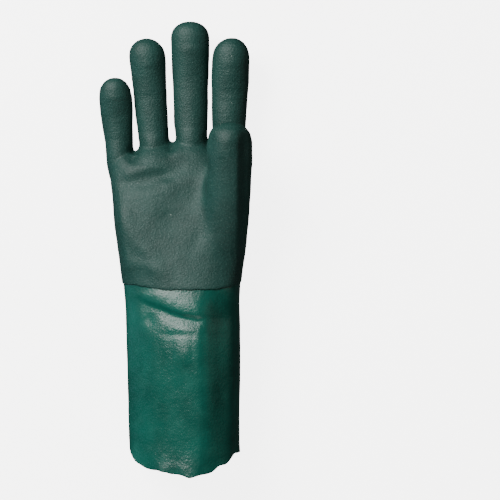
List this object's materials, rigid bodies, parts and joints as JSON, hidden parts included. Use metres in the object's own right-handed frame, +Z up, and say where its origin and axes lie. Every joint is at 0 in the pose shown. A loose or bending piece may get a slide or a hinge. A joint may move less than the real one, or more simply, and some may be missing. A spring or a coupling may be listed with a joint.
{
  "type": "pvc coated work glove",
  "caption": "Right-hand work glove with a long gauntlet: a rough coated hand over a smooth coated sleeve with a wavy hem, lying palm up.",
  "frame": {"origin": "on the surface that the glove lies on, at the flat of its back, halfway along its length", "axes": "+X to the thumb's side, +Y to the fingertips, +Z up, out of the palm side"},
  "size_m": [0.1175, 0.3508, 0.0723],
  "materials": {
    "smooth_coat": "glossy smooth green coat over knitted cloth",
    "rough_coat": "matte sandy green coat, a second dip over the smooth one"
  },
  "bodies": {
    "root": {"smooth_gauntlet": "smooth_coat", "rough_hand": "rough_coat"}
  },
  "joints": []
}
